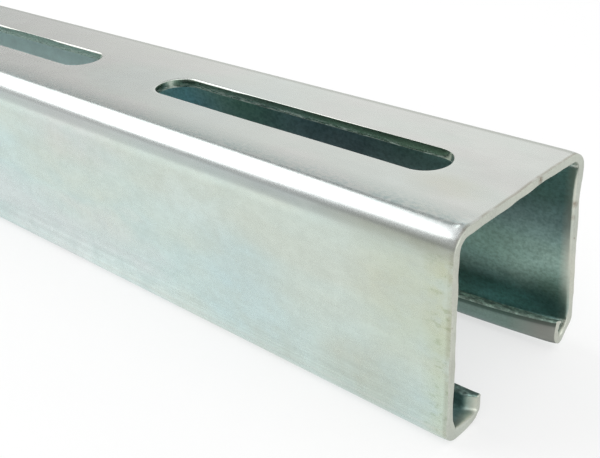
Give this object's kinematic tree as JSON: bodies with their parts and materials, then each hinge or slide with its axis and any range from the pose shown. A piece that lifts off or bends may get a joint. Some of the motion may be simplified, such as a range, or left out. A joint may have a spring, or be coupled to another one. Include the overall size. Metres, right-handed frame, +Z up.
{
  "type": "strut channel",
  "caption": "Square lipped steel strut channel with long slots along its back, cut to length for bolting up supports, racks and pipe hangers.",
  "frame": {"origin": "middle of the footprint, on the level that the two lips rest on", "axes": "+X along the channel towards the cut end that the picture shows, +Z up through the slotted back, Y across the channel"},
  "size_m": [0.6096, 0.0412, 0.0413],
  "materials": {
    "zinc_plate": "bright zinc electroplate with a clear iridescent passivate over cold-rolled steel, faint lines along the length"
  },
  "bodies": {
    "root": {"strut_channel": "zinc_plate"}
  },
  "joints": []
}
